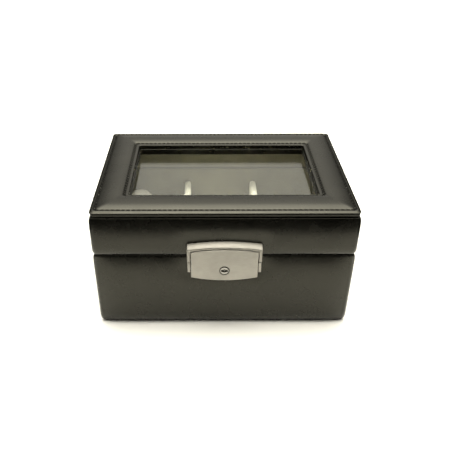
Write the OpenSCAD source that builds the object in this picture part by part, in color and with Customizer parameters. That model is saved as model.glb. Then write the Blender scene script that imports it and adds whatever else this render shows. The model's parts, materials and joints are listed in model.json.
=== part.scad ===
// Watch box with a glass lid and a push lock.
// The front faces -Y and the box stands on Z = 0, centred on X = 0 and Y = 0.

/* [Box] */
// Width of the closed box
box_w = 160; // [150:1:200]
// Depth of the closed box, without the lock and the hinges
box_d = 112; // [104:1:140]
// Height of the closed box
box_h = 84.4; // [82:0.1:100]
// Height of the middle of the gap between base and lid
parting_z = 54.3; // [53:0.1:58]
// Gap between base and lid
parting_gap = 0.6; // [0.4:0.1:0.8]
// Radius of the upright corners
corner_r = 3; // [2:0.5:5]

/* [Walls] */
// Thickness of the leather
leather_t = 0.8; // [0.6:0.1:1]
// Thickness of the foam under the side leather
foam_t = 0.7; // [0.5:0.1:1]
// Thickness of the base wall boards
board_t = 4.5; // [4:0.1:5]
// Thickness of the suede lining panels in the base
lining_t = 2; // [1.5:0.1:2.5]
// Thickness of the suede lining panels in the lid
lid_lining_t = 1.2; // [1:0.1:1.5]
// Thickness of the bottom board
bottom_t = 4; // [3:0.5:5]
// Thickness of the felt under the base
felt_t = 1.1; // [1:0.1:1.5]
// How far the leather stays above the table
leather_lift = 0.3; // [0.2:0.1:0.5]
// How far the felt stays inside the outline
felt_inset = 3; // [2.5:0.5:6]
// How far the base lining stands above the parting gap
collar_h = 3.4; // [2.5:0.1:3.6]
// Gap between the collar and the inside of the lid
collar_gap = 0.6; // [0.4:0.1:0.8]

/* [Lid] */
// Width of the window opening
window_w = 117; // [100:1:125]
// Depth of the window opening
window_d = 70; // [60:1:76]
// How far the glass lies below the top of the lid
glass_drop = 6.9; // [5:0.1:8]
// Thickness of the glass
glass_t = 2; // [1.5:0.1:2.5]
// How far the glass reaches past the opening on each side
glass_lap = 4; // [3:0.5:6]
// Thickness of the foam under the top leather
top_foam_t = 1.2; // [1:0.1:1.5]
// Height of the welt between the top leather and the side leather
welt_h = 1.3; // [1:0.1:1.5]
// Thickness of the frame that holds the glass from below
retainer_t = 1.5; // [1:0.1:2]

/* [Inside] */
// Thickness of the dividers
divider_t = 4.5; // [4:0.1:6]
// Height of the top of the dividers
divider_top_z = 48; // [44:0.5:50]
// Width of a watch pillow
pillow_w = 38; // [34:0.5:40]
// Length of a watch pillow
pillow_l = 62; // [56:1:66]
// Thickness of a watch pillow
pillow_t = 22; // [18:0.5:26]
// Radius of the pillow's long edges
pillow_r = 10; // [6:0.5:11]
// Gap round a pillow where it rests
pillow_gap = 0.3; // [0.2:0.1:0.5]

/* [Lock] */
// Half width of the hasp cover
cover_half_w = 22.8; // [22.6:0.1:24]
// How far the hasp cover stands out
cover_out = 5.2; // [5:0.1:5.6]
// Half width of the lock plate
plate_half_w = 20.5; // [20:0.1:20.6]
// Height of the middle of the lock plate's bottom edge
plate_bottom_z = 39.2; // [38.5:0.1:40]
// Height of the middle of the lock plate's top edge
plate_top_z = 61.7; // [61:0.1:62]
// Height of the pivot of the lock plate
pivot_z = 48; // [47.5:0.1:48.5]
// Height of the key cylinder
key_z = 46.7; // [46.2:0.1:47]
// Radius of the key cylinder
key_r = 2.6; // [2.3:0.1:2.7]

/* [Hinges] */
// Distance of each hinge from the middle of the box
hinge_x = 48; // [40:1:55]
// Width of a hinge
hinge_w = 22; // [20:1:28]
// Radius of a hinge knuckle
knuckle_r = 2.2; // [2:0.1:2.2]
// Radius of a hinge pin
hinge_pin_r = 0.97; // [0.8:0.01:1.1]

/* [Hidden] */
$fn = 64;
half_w = box_w / 2;
half_d = box_d / 2;
skin_t = leather_t + foam_t;
base_top_z = parting_z - parting_gap / 2;
lid_bottom_z = parting_z + parting_gap / 2;
wall_top_z = base_top_z - leather_t;
lid_wall_bottom_z = lid_bottom_z + leather_t;
inner_half_w = half_w - skin_t - board_t;
inner_half_d = half_d - skin_t - board_t;
lid_inner_half_w = inner_half_w + collar_gap;
lid_inner_half_d = inner_half_d + collar_gap;
lined_half_w = inner_half_w - lining_t;
lined_half_d = inner_half_d - lining_t;
lining_top_z = parting_z + collar_h;
lid_lining_bottom_z = lining_top_z + 0.5;
floor_z = felt_t + bottom_t;
pad_top_z = floor_z + lining_t;
corner_min_r = 0.5;

glass_top_z = box_h - glass_drop;
glass_bottom_z = glass_top_z - glass_t;
retainer_bottom_z = glass_bottom_z - retainer_t;
top_sheet_z = box_h - leather_t;
top_board_top_z = top_sheet_z - top_foam_t;
welt_top_z = top_sheet_z - 0.4;
welt_bottom_z = welt_top_z - welt_h;
welt_inset = 0.3;
window_r = 1.5;
bead_t = 0.6;
bead_h = 0.8;
bead_z = box_h - 3.4;
glass_gap = 0.1;
retainer_set_back = 1.3;

places = 3;
place_w = (2 * lined_half_w - (places - 1) * divider_t) / places;
divider_x = place_w / 2 + divider_t / 2;
place_x = place_w + divider_t;
standing_pillow_x = -lined_half_w + pillow_gap + pillow_t / 2;
standing_pillow_y = 15;
lying_pillow_y = -14;

lock_sheet_t = 1;
plate_back = 4.2;
plate_front = 6;
plate_bow = 0.8;
plate_arch = 1.7;
cover_arch = 1.8;
cover_top_z = 65;
cover_sheet_t = 1.2;
cover_bend_r = 8;
cover_bend_angle = 12;
cover_foot_z = lid_bottom_z + 0.4;
side_in = 20.9;
arm_bottom_z = 51.9;
arm_top_z = 59.7;
arm_lift = 0.4;
arm_out = 4.6;
ear_half_w = 22.6;
ear_bottom_z = 44.3;
ear_top_z = 51.5;
ear_out = 4.4;
pocket_gap = 0.4;
pivot_out = 2.8;
pivot_r = 0.8;
pivot_clear = 0.03;
lug_out_x = 20.3;
lug_in_x = 18.8;
lug_r = 1.6;
body_half_w = 19.5;
body_bottom_z = 41;
body_top_z = 53.4;
cam_hole_r = 6.2;
lock_recess = 4;
ring_r = 3.05;
ring_front = 6.25;
ring_back = 1.4;
key_front = 6.1;
key_back = -0.2;
key_clear = 0.02;
key_hole_r = 1.15;
key_hole_depth = 3;
key_post_r = 0.42;
key_post_back = 0.2;
key_wing_x = 2.05;
key_wing_h = 1.5;
cam_t = 1;
cam_r = 2.4;
cam_reach = 4.6;
cam_w = 2;
hook_half_w = 8;
hook_bottom_z = 52;
hook_nose_z = 57.2;
hook_top_z = 58.4;
hook_strip_out = 3.4;
hook_nose_out = 2.4;
catch_bottom_z = 55.4;
catch_top_z = 57;
catch_out = 3.3;
spring_x = 7.5;
spring_w = 3.5;
spring_t = 0.3;
spring_foot_top = 52.5;
spring_foot_bottom = 49.5;
spring_tip_z = 42.6;
screw_r = 1;
screw_head_r = 1.9;
lock_screw_x = 15;
cover_screw_z = 58.6;

hinge_y = half_d + 0.3 + knuckle_r;
leaf_t = leather_t;
leaf_in = 5;
knuckle_gap = 0.2;
knuckle_mid = 5;
hinge_screw_r = 0.9;
hinge_head_r = 1.6;
hinge_screw_x = 7;
hinge_screw_y = half_d - 3.6;
hinge_screw_l = 6;
pin_over = 0.2;
neck_in = 1.1;

// ---------- shared shapes ----------

// A block between two corners.
module block(low, high) {
    translate(low)
        cube(high - low);
}

// A rectangle about the origin with true round corners.
module rounded_plan(w, d, r) {
    square([w - 2 * r, d], center = true);
    square([w, d - 2 * r], center = true);
    for (x = [-1, 1], y = [-1, 1])
        translate([x * (w / 2 - r), y * (d / 2 - r)])
            circle(r);
}

// The box outline moved in by a distance.
module outline(inset) {
    rounded_plan(box_w - 2 * inset, box_d - 2 * inset, max(corner_r - inset, corner_min_r));
}

// An upright band of the box outline, between two insets and two heights.
module outline_band(inset, inner_inset, low, high) {
    translate([0, 0, low])
        linear_extrude(high - low)
            difference() {
                outline(inset);
                outline(inner_inset);
            }
}

// A flat frame with the box outline outside and a square opening inside.
module outline_frame(inset, open_w, open_d, low, high) {
    translate([0, 0, low])
        linear_extrude(high - low)
            difference() {
                outline(inset);
                square([open_w, open_d], center = true);
            }
}

// A round bar along Y on the front face: out is measured from the front face outwards.
module front_bar(x, z, r, back, front) {
    translate([x, -half_d - back, z])
        rotate([90, 0, 0])
            cylinder(r = r, h = front - back);
}

// A block on the front face, with out measured from the front face outwards.
module front_block(x0, x1, back, front, z0, z1) {
    block([x0, -half_d - front, z0], [x1, -half_d - back, z1]);
}

// Both side copies of what is on the right.
module both_sides() {
    children();
    mirror([1, 0, 0])
        children();
}

// A wall outline kept to the box's rounded corners.
module inside_outline(inset, low, high) {
    intersection() {
        children();
        translate([0, 0, low])
            linear_extrude(high - low)
                outline(inset);
    }
}

// ---------- cut-outs ----------

// Round recess behind the lock for the key cylinder's cam, and the lock body's screw holes.
module lock_recess_cuts() {
    front_bar(0, key_z, cam_hole_r, -lock_recess, 1);
    both_sides()
        front_bar(lock_screw_x, key_z, screw_r, -lock_recess - 1, 1);
}

module hasp_screw_cuts() {
    both_sides()
        front_bar(lock_screw_x, cover_screw_z, screw_r, -lock_recess, 1);
}

// Holes of the hinge screws, down into the base or up into the lid.
module hinge_screw_shanks(low, high) {
    for (side = [-1, 1], x = [-1, 1])
        translate([side * hinge_x + x * hinge_screw_x, hinge_screw_y, low])
            cylinder(r = hinge_screw_r, h = high - low);
}

module leaf_seat(low, high) {
    for (side = [-1, 1])
        block(
            [side * hinge_x - hinge_w / 2, half_d - leaf_in, low],
            [side * hinge_x + hinge_w / 2, half_d + 1, high]
        );
}

// ---------- base ----------

module base_front_board() {
    color("peru")
        difference() {
            block([-inner_half_w, -half_d + skin_t, felt_t], [inner_half_w, -inner_half_d, wall_top_z]);
            lock_recess_cuts();
        }
}

module base_back_board() {
    color("peru")
        difference() {
            block([-inner_half_w, inner_half_d, felt_t], [inner_half_w, half_d - skin_t, wall_top_z]);
            hinge_screw_shanks(wall_top_z - hinge_screw_l, wall_top_z + 1);
        }
}

module side_board(inner_x, low, high) {
    inside_outline(skin_t, low, high)
        block([inner_x, -half_d, low], [half_w, half_d, high]);
}

module base_left_board() {
    color("peru")
        mirror([1, 0, 0])
            side_board(inner_half_w, felt_t, wall_top_z);
}

module base_right_board() {
    color("peru")
        side_board(inner_half_w, felt_t, wall_top_z);
}

module base_bottom_board() {
    color("peru")
        block([-inner_half_w, -inner_half_d, felt_t], [inner_half_w, inner_half_d, floor_z]);
}

module base_foam() {
    color("dimgray")
        difference() {
            outline_band(leather_t, skin_t, felt_t, wall_top_z);
            lock_recess_cuts();
        }
}

// Leather round the four sides, turned in over the rim and under the bottom.
module base_leather() {
    color([0.1, 0.1, 0.09])
        difference() {
            union() {
                outline_band(0, leather_t, leather_lift, base_top_z);
                outline_band(leather_t / 2, felt_inset, leather_lift, felt_t);
                outline_frame(0, 2 * inner_half_w, 2 * inner_half_d, wall_top_z, base_top_z);
            }
            lock_recess_cuts();
            leaf_seat(wall_top_z, base_top_z + 1);
        }
}

module base_felt() {
    color("black")
        linear_extrude(felt_t)
            outline(felt_inset);
}

module lining_panel(low, high) {
    color([0.56, 0.55, 0.48])
        block(low, high);
}

module base_front_lining() {
    lining_panel([-inner_half_w, -inner_half_d, floor_z], [inner_half_w, -lined_half_d, lining_top_z]);
}

module base_back_lining() {
    lining_panel([-inner_half_w, lined_half_d, floor_z], [inner_half_w, inner_half_d, lining_top_z]);
}

module base_left_lining() {
    lining_panel([-inner_half_w, -lined_half_d, floor_z], [-lined_half_w, lined_half_d, lining_top_z]);
}

module base_right_lining() {
    lining_panel([lined_half_w, -lined_half_d, floor_z], [inner_half_w, lined_half_d, lining_top_z]);
}

module floor_lining() {
    lining_panel([-lined_half_w, -lined_half_d, floor_z], [lined_half_w, lined_half_d, pad_top_z]);
}

// A divider from the front lining to the back lining, with a half-round top.
module divider(x) {
    color([0.75, 0.74, 0.65])
        translate([x, 0, 0]) {
            block(
                [-divider_t / 2, -lined_half_d, pad_top_z],
                [divider_t / 2, lined_half_d, divider_top_z - divider_t / 2]
            );
            translate([0, lined_half_d, divider_top_z - divider_t / 2])
                rotate([90, 0, 0])
                    cylinder(d = divider_t, h = 2 * lined_half_d);
        }
}

module left_divider() {
    divider(-divider_x);
}

module right_divider() {
    divider(divider_x);
}

// A watch pillow, a flat oval roll that lies across its place.
module lying_pillow(x) {
    color([0.72, 0.71, 0.62])
        translate([x - pillow_w / 2, lying_pillow_y, pad_top_z + pillow_gap + pillow_t / 2])
            rotate([90, 0, 90])
                linear_extrude(pillow_w)
                    rounded_plan(pillow_l, pillow_t, pillow_r);
}

// The left pillow stands on its side against the left lining.
module left_pillow() {
    color([0.72, 0.71, 0.62])
        translate([standing_pillow_x, standing_pillow_y, pad_top_z + pillow_gap])
            linear_extrude(pillow_w)
                rounded_plan(pillow_t, pillow_l, pillow_r);
}

module middle_pillow() {
    lying_pillow(0);
}

module right_pillow() {
    lying_pillow(place_x);
}

// ---------- lid ----------

module lid_front_board() {
    color("peru")
        difference() {
            block(
                [-lid_inner_half_w, -half_d + skin_t, lid_wall_bottom_z],
                [lid_inner_half_w, -lid_inner_half_d, glass_top_z]
            );
            hasp_screw_cuts();
        }
}

module lid_back_board() {
    color("peru")
        difference() {
            block(
                [-lid_inner_half_w, lid_inner_half_d, lid_wall_bottom_z],
                [lid_inner_half_w, half_d - skin_t, glass_top_z]
            );
            hinge_screw_shanks(lid_wall_bottom_z - 1, lid_wall_bottom_z + hinge_screw_l);
        }
}

module lid_left_board() {
    color("peru")
        mirror([1, 0, 0])
            side_board(lid_inner_half_w, lid_wall_bottom_z, glass_top_z);
}

module lid_right_board() {
    color("peru")
        side_board(lid_inner_half_w, lid_wall_bottom_z, glass_top_z);
}

// A flat frame of the box outline with the window opening, widened by a margin.
module window_frame(inset, margin, low, high) {
    translate([0, 0, low])
        linear_extrude(high - low)
            difference() {
                outline(inset);
                rounded_plan(window_w + 2 * margin, window_d + 2 * margin, window_r + margin);
            }
}

module lid_top_board() {
    color("peru")
        window_frame(skin_t, leather_t, glass_top_z, top_board_top_z);
}

module lid_side_foam() {
    color("dimgray")
        difference() {
            outline_band(leather_t, skin_t, lid_wall_bottom_z, welt_bottom_z);
            hasp_screw_cuts();
        }
}

module lid_top_foam() {
    color("dimgray")
        window_frame(skin_t, leather_t, top_board_top_z, top_sheet_z);
}

// Leather round the four sides of the lid, turned in under the rim.
module lid_side_leather() {
    color([0.1, 0.1, 0.09])
        difference() {
            union() {
                outline_band(0, leather_t, lid_bottom_z, welt_bottom_z);
                outline_frame(0, 2 * lid_inner_half_w, 2 * lid_inner_half_d, lid_bottom_z, lid_wall_bottom_z);
            }
            hasp_screw_cuts();
            leaf_seat(lid_bottom_z - 1, lid_wall_bottom_z);
        }
}

// Top leather with a doubled outer edge, turned down into the window.
module lid_top_leather() {
    color([0.15, 0.15, 0.13]) {
        window_frame(0, 0, top_sheet_z, box_h);
        outline_band(0, skin_t, welt_top_z, top_sheet_z);
        translate([0, 0, glass_top_z])
            linear_extrude(top_sheet_z - glass_top_z)
                difference() {
                    rounded_plan(window_w + 2 * leather_t, window_d + 2 * leather_t, window_r + leather_t);
                    rounded_plan(window_w, window_d, window_r);
                }
    }
}

module lid_welt() {
    color([0.2, 0.2, 0.17])
        outline_band(welt_inset, skin_t, welt_bottom_z, welt_top_z);
}

module window_bead() {
    color([0.2, 0.2, 0.17])
        translate([0, 0, bead_z])
            linear_extrude(bead_h)
                difference() {
                    rounded_plan(window_w, window_d, window_r);
                    rounded_plan(window_w - 2 * bead_t, window_d - 2 * bead_t, window_r - bead_t);
                }
}

module glass_pane() {
    color("lightblue", 0.35)
        block(
            [-window_w / 2 - glass_lap, -window_d / 2 - glass_lap, glass_bottom_z],
            [window_w / 2 + glass_lap, window_d / 2 + glass_lap, glass_top_z]
        );
}

// A square frame that fills the lid from its walls to an opening.
module inner_frame(open_w, open_d, low, high) {
    translate([0, 0, low])
        linear_extrude(high - low)
            difference() {
                square([2 * lid_inner_half_w, 2 * lid_inner_half_d], center = true);
                square([open_w, open_d], center = true);
            }
}

module glass_spacer() {
    pane_room = 2 * (glass_lap + glass_gap);
    color("tan")
        inner_frame(window_w + pane_room, window_d + pane_room, glass_bottom_z, glass_top_z);
}

module glass_retainer() {
    color([0.56, 0.55, 0.48])
        inner_frame(
            window_w + 2 * retainer_set_back,
            window_d + 2 * retainer_set_back,
            retainer_bottom_z,
            glass_bottom_z
        );
}

module lid_front_lining() {
    lining_panel(
        [-lid_inner_half_w, -lid_inner_half_d, lid_lining_bottom_z],
        [lid_inner_half_w, -lid_inner_half_d + lid_lining_t, retainer_bottom_z]
    );
}

module lid_back_lining() {
    lining_panel(
        [-lid_inner_half_w, lid_inner_half_d - lid_lining_t, lid_lining_bottom_z],
        [lid_inner_half_w, lid_inner_half_d, retainer_bottom_z]
    );
}

module lid_side_lining(inner_x, outer_x) {
    lining_panel(
        [inner_x, -lid_inner_half_d + lid_lining_t, lid_lining_bottom_z],
        [outer_x, lid_inner_half_d - lid_lining_t, retainer_bottom_z]
    );
}

module lid_left_lining() {
    lid_side_lining(-lid_inner_half_w, -lid_inner_half_w + lid_lining_t);
}

module lid_right_lining() {
    lid_side_lining(lid_inner_half_w - lid_lining_t, lid_inner_half_w);
}

// ---------- hinges ----------

// A round bar along X on the hinge line.
module hinge_bar(x0, x1, r) {
    translate([x0, hinge_y, parting_z])
        rotate([0, 90, 0])
            cylinder(r = r, h = x1 - x0);
}

// A leaf plate with its screw holes, at one hinge.
module leaf_plate(low, head_r_low, head_r_high) {
    difference() {
        block([-hinge_w / 2, half_d - leaf_in, low], [hinge_w / 2, half_d, low + leaf_t]);
        for (x = [-1, 1])
            translate([x * hinge_screw_x, hinge_screw_y, low])
                cylinder(r1 = head_r_low, r2 = head_r_high, h = leaf_t);
    }
}

// One knuckle with the neck that joins it to its leaf.
module knuckle(x0, x1, neck_low, bore_r) {
    difference() {
        union() {
            hinge_bar(x0, x1, knuckle_r);
            block([x0, half_d - 0.1, neck_low], [x1, hinge_y - neck_in, neck_low + leaf_t]);
        }
        hinge_bar(x0 - 1, x1 + 1, bore_r);
    }
}

module lower_leaf(side) {
    color("silver")
        translate([side * hinge_x, 0, 0]) {
            leaf_plate(wall_top_z, hinge_screw_r, hinge_head_r);
            knuckle(-hinge_w / 2, -knuckle_mid, wall_top_z, hinge_pin_r);
            knuckle(knuckle_mid, hinge_w / 2, wall_top_z, hinge_pin_r);
        }
}

module upper_leaf(side) {
    mid = knuckle_mid - knuckle_gap;
    color("silver")
        translate([side * hinge_x, 0, 0]) {
            leaf_plate(lid_bottom_z, hinge_head_r, hinge_screw_r);
            knuckle(-mid, mid, lid_bottom_z, hinge_pin_r + pivot_clear);
        }
}

module left_hinge_lower_leaf() {
    lower_leaf(-1);
}

module right_hinge_lower_leaf() {
    lower_leaf(1);
}

module left_hinge_upper_leaf() {
    upper_leaf(-1);
}

module right_hinge_upper_leaf() {
    upper_leaf(1);
}

module hinge_pins() {
    reach = hinge_w / 2 + pin_over;
    color("gray")
        for (side = [-1, 1])
            hinge_bar(side * hinge_x - reach, side * hinge_x + reach, hinge_pin_r);
}

module lower_hinge_screws() {
    color("gray") {
        hinge_screw_shanks(wall_top_z - hinge_screw_l, wall_top_z);
        for (side = [-1, 1], x = [-1, 1])
            translate([side * hinge_x + x * hinge_screw_x, hinge_screw_y, wall_top_z])
                cylinder(r1 = hinge_screw_r, r2 = hinge_head_r, h = leaf_t);
    }
}

module upper_hinge_screws() {
    color("gray") {
        hinge_screw_shanks(lid_wall_bottom_z, lid_wall_bottom_z + hinge_screw_l);
        for (side = [-1, 1], x = [-1, 1])
            translate([side * hinge_x + x * hinge_screw_x, hinge_screw_y, lid_bottom_z])
                cylinder(r1 = hinge_head_r, r2 = hinge_screw_r, h = leaf_t);
    }
}

// ---------- lock, part on the lid ----------

// Radius of the arc through the middle and both ends of an arched edge.
function arch_r(half, rise) = (half * half + rise * rise) / (2 * rise);

// The area under an arched edge, in X and Z.
module under_arch(half, mid_z, rise, bottom_z) {
    intersection() {
        translate([-half, bottom_z])
            square([2 * half, mid_z - bottom_z]);
        translate([0, mid_z - arch_r(half, rise)])
            circle(arch_r(half, rise), $fn = 360);
    }
}

// A shape in X and Z, extruded on the front face.
module front_extrude(back, front) {
    translate([0, -half_d - back, 0])
        rotate([90, 0, 0])
            linear_extrude(front - back)
                children();
}

module screw_heads(z, sheet_t) {
    both_sides()
        translate([lock_screw_x, -half_d, z])
            rotate([90, 0, 0])
                cylinder(r1 = screw_r, r2 = screw_head_r, h = sheet_t);
}

// What is below the hood's arched top, which bends down towards its front.
module hood_bend() {
    top_r = arch_r(cover_half_w, cover_arch);
    depth = 1.75 * cover_bend_r;
    translate([0, -half_d, cover_top_z - top_r])
        rotate([90, 0, 0])
            rotate([0, 0, 90 - cover_bend_angle])
                rotate_extrude(angle = 2 * cover_bend_angle, $fn = 720)
                    intersection() {
                        translate([top_r - depth, 0])
                            square([depth, cover_out]);
                        translate([top_r - cover_bend_r, 0])
                            circle(cover_bend_r, $fn = 180);
                    }
}

// Hood over the lock plate's top edge, with a back sheet on the lid and an arm down each side.
module hasp_cover() {
    color([0.78, 0.76, 0.69])
        difference() {
            union() {
                intersection() {
                    front_extrude(0, cover_out)
                        under_arch(cover_half_w, cover_top_z, cover_arch, cover_foot_z);
                    hood_bend();
                }
                both_sides()
                    front_block(side_in, cover_half_w, arm_lift, arm_out, arm_bottom_z, plate_top_z);
            }
            front_extrude(cover_sheet_t, cover_out + 1)
                under_arch(side_in, plate_top_z + pocket_gap, plate_arch, cover_foot_z - 1);
            both_sides()
                front_block(side_in, cover_half_w + 1, arm_out, cover_out + 1, cover_foot_z - 1, arm_top_z);
            screw_heads(cover_screw_z, cover_sheet_t);
        }
}

module hasp_catch() {
    color([0.78, 0.76, 0.69])
        front_block(-hook_half_w, hook_half_w, cover_sheet_t, catch_out, catch_bottom_z, catch_top_z);
}

module hasp_screws() {
    color("gray") {
        both_sides()
            front_bar(lock_screw_x, cover_screw_z, screw_r, -lock_recess, 0);
        screw_heads(cover_screw_z, cover_sheet_t);
    }
}

// ---------- lock, part on the base ----------

// A round bar along X through the lock's pivot line.
module pivot_bar(x0, x1, r) {
    translate([x0, -half_d - pivot_out, pivot_z])
        rotate([0, 90, 0])
            cylinder(r = r, h = x1 - x0);
}

module lock_body() {
    color([0.78, 0.76, 0.69])
        difference() {
            union() {
                front_block(-body_half_w, body_half_w, 0, lock_sheet_t, body_bottom_z, body_top_z);
                front_block(-ear_half_w, ear_half_w, 0, lock_sheet_t, ear_bottom_z, ear_top_z);
                both_sides()
                    front_block(side_in, ear_half_w, 0, ear_out, ear_bottom_z, ear_top_z);
            }
            front_bar(0, key_z, cam_hole_r, -1, lock_sheet_t + 1);
            pivot_bar(-half_w, half_w, pivot_r);
            screw_heads(key_z, lock_sheet_t);
        }
}

module lock_pivot_pins() {
    color("gray")
        both_sides()
            pivot_bar(lug_in_x, ear_half_w, pivot_r);
}

// Two bent leaf springs between the lock body and the lock plate.
module lock_springs() {
    color("dimgray")
        both_sides()
            translate([spring_x + spring_w, -half_d, 0])
                rotate([90, 0, -90])
                    linear_extrude(spring_w)
                        polygon([
                            [lock_sheet_t, spring_foot_top],
                            [lock_sheet_t + spring_t, spring_foot_top],
                            [lock_sheet_t + spring_t, spring_foot_bottom],
                            [plate_back, spring_tip_z],
                            [plate_back - spring_t, spring_tip_z - spring_t],
                            [lock_sheet_t, spring_foot_bottom]
                        ]);
}

module lock_screws() {
    color("gray") {
        both_sides()
            front_bar(lock_screw_x, key_z, screw_r, -lock_recess, 0);
        screw_heads(key_z, lock_sheet_t);
    }
}

// The outline of the lock plate, arched at its top and bottom.
module plate_outline() {
    intersection() {
        under_arch(plate_half_w, plate_top_z, plate_arch, plate_bottom_z);
        translate([0, plate_bottom_z + arch_r(plate_half_w, plate_arch)])
            circle(arch_r(plate_half_w, plate_arch), $fn = 360);
    }
}

// The pressed plate, bowed outwards, with a lug behind each side for the pivot pin.
module lock_plate() {
    bow_r = arch_r(plate_half_w, plate_bow);
    color([0.77, 0.75, 0.67])
        difference() {
            union() {
                intersection() {
                    front_extrude(plate_back, plate_front)
                        plate_outline();
                    translate([0, bow_r - half_d - plate_front, 0])
                        cylinder(r = bow_r, h = box_h, $fn = 720);
                }
                both_sides() {
                    pivot_bar(lug_in_x, lug_out_x, lug_r);
                    front_block(lug_in_x, lug_out_x, pivot_out, plate_back + 0.2, pivot_z - lug_r, pivot_z + lug_r);
                }
            }
            pivot_bar(-half_w, half_w, pivot_r + pivot_clear);
            front_bar(0, key_z, ring_r, 0, plate_front + 1);
        }
}

// Hook on the back of the plate that holds the catch on the lid.
module latch_hook() {
    color("gray") {
        front_block(-hook_half_w, hook_half_w, hook_strip_out, plate_back, hook_bottom_z, hook_top_z);
        front_block(-hook_half_w, hook_half_w, hook_nose_out, hook_strip_out, hook_nose_z, hook_top_z);
    }
}

module cylinder_ring() {
    color("gray")
        difference() {
            front_bar(0, key_z, ring_r, ring_back, ring_front);
            front_bar(0, key_z, key_r + key_clear, ring_back - 1, ring_front + 1);
        }
}

// Round cylinder with a keyhole for a barrel key: a round hole with a post in it and a wing to each side for the bits.
module key_cylinder() {
    hole_back = key_front - key_hole_depth;
    color("silver") {
        difference() {
            front_bar(0, key_z, key_r, key_back, key_front);
            front_bar(0, key_z, key_hole_r, hole_back, key_front + 1);
            front_block(
                -key_wing_x, key_wing_x,
                hole_back, key_front + 1,
                key_z - key_wing_h / 2, key_z + key_wing_h / 2
            );
        }
        front_bar(0, key_z, key_post_r, hole_back, key_front - key_post_back);
    }
}

module lock_cam() {
    color("gray") {
        front_bar(0, key_z, cam_r, key_back - cam_t, key_back);
        front_block(-cam_reach, 0, key_back - cam_t, key_back, key_z - cam_w / 2, key_z + cam_w / 2);
    }
}

// ---------- nodes ----------

base_front_board();
base_back_board();
base_left_board();
base_right_board();
base_bottom_board();
base_foam();
base_leather();
base_felt();
base_front_lining();
base_back_lining();
base_left_lining();
base_right_lining();
floor_lining();
left_divider();
right_divider();
left_pillow();
middle_pillow();
right_pillow();
lid_front_board();
lid_back_board();
lid_left_board();
lid_right_board();
lid_top_board();
lid_side_foam();
lid_top_foam();
lid_side_leather();
lid_top_leather();
lid_welt();
window_bead();
glass_pane();
glass_spacer();
glass_retainer();
lid_front_lining();
lid_back_lining();
lid_left_lining();
lid_right_lining();
left_hinge_lower_leaf();
right_hinge_lower_leaf();
left_hinge_upper_leaf();
right_hinge_upper_leaf();
hinge_pins();
lower_hinge_screws();
upper_hinge_screws();
hasp_cover();
hasp_catch();
hasp_screws();
lock_body();
lock_pivot_pins();
lock_springs();
lock_screws();
lock_plate();
latch_hook();
cylinder_ring();
key_cylinder();
lock_cam();
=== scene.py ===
import json
import math
import random

import bmesh
import bpy
import numpy as np
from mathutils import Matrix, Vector, bvhtree, noise

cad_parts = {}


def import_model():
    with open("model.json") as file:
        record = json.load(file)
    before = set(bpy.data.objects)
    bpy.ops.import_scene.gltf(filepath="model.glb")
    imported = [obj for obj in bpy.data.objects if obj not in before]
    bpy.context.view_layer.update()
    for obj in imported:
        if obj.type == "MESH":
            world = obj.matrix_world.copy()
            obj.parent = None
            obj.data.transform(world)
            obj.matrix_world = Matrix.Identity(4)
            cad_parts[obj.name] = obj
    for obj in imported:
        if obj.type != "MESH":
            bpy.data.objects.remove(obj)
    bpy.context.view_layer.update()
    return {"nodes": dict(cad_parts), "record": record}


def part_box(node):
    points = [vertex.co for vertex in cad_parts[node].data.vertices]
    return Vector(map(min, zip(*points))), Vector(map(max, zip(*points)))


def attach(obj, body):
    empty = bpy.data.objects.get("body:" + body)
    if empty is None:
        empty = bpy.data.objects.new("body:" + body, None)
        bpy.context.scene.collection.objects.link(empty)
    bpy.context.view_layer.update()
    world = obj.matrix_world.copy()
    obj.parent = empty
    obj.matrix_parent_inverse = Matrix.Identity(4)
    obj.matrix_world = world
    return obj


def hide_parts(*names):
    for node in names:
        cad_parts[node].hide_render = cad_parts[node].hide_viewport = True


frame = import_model()

# The looks of the watch box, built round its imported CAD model.
# The box stands on Z = 0 and its front faces -Y. Lengths are in millimetres, and mesh_piece() turns them
# into metres.
MM = 0.001
nodes = frame["nodes"]
record = frame["record"]
body_of_node = {node: body for body, members in record["behaviour"]["bodies"].items() for node in members}
slot_of_node = {row["node"]: row["material_slot"] for row in record["subparts"]}


def span(node):
    """Lowest and highest corner of a CAD node at rest."""
    low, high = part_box(node)
    return np.array(low) / MM, np.array(high) / MM


base_low, base_high = span("base_leather")
side_low, side_high = span("lid_side_leather")
top_low, top_high = span("lid_top_leather")
welt_low, welt_high = span("lid_welt")
bead_low, bead_high = span("window_bead")
cover_high = span("hasp_cover")[1]
lock_low = span("lock_body")[0]

HALF_W, HALF_D = base_high[0], base_high[1]
TOP_CORNER_R = 2.2
WALL_CORNER_R = 2.0
SMALLEST_R = 0.4
LEATHER = 0.8
SKIN = 1.5
RIM_IN = 6.0
FELT_IN = 3.0
WINDOW_HALF_W = bead_high[0]
WINDOW_HALF_D = bead_high[1]
WINDOW_R = 1.5
BORDER = HALF_W - WINDOW_HALF_W
HINGE_X = 48.0
HINGE_HALF_W = 11.0
STITCH_PITCH = 3.1


# ---------- geometry helpers ----------

def smooth(t):
    """0 below 0, 1 above 1, and a soft step between."""
    t = np.clip(t, 0, 1)
    return t * t * (3 - 2 * t)


def ease(t):
    """Rises fast from 0 and levels out at 1."""
    return 1 - (1 - np.clip(t, 0, 1)) ** 3


def ripple(points, size, seed):
    """Soft noise from -1 to 1 at each point, with lumps of about the given size."""
    shift = Vector((seed * 17.3, seed * 5.1, seed * 9.7))
    return np.array([noise.noise(Vector(p) / size + shift) for p in points])


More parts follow.
